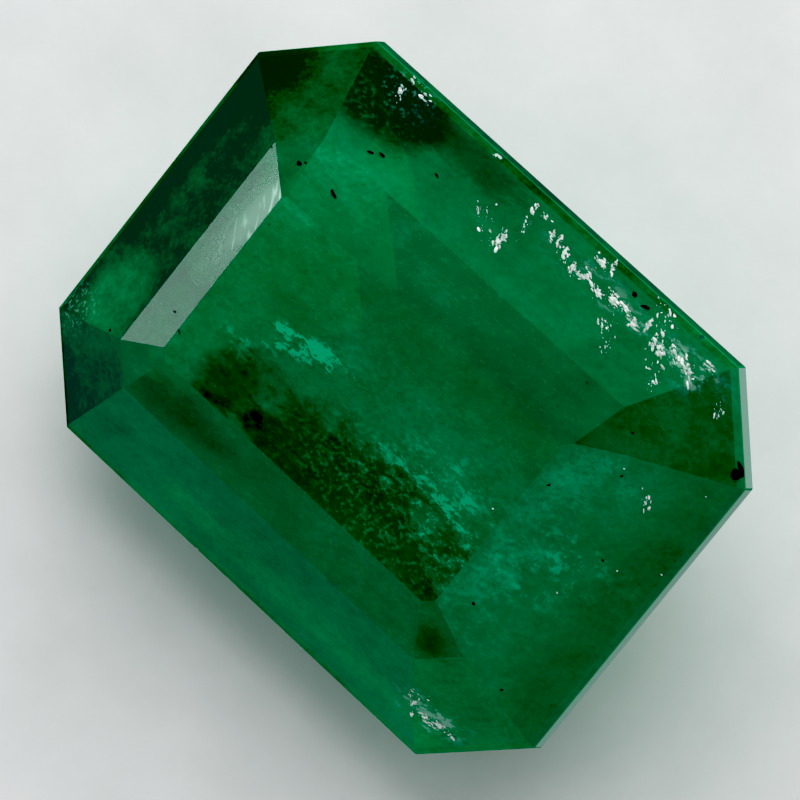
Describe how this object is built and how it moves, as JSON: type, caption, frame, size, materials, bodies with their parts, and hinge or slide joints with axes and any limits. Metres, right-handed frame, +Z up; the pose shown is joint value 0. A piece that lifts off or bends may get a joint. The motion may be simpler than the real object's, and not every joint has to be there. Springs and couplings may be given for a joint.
{
  "type": "step-cut emerald gemstone",
  "caption": "Loose octagonal step-cut emerald with clipped corners, a flat table and a keeled pavilion, for setting or display.",
  "frame": {"origin": "on the ground under the middle of the stone, which lies on one of the two pavilion facets beside its keel", "axes": "+X along the stone's length, +Z up, and the table leans 30 degrees towards -Y"},
  "size_m": [0.008, 0.0054, 0.0044],
  "materials": {
    "beryl": "polished"
  },
  "bodies": {
    "root": {"emerald": "beryl"}
  },
  "joints": []
}
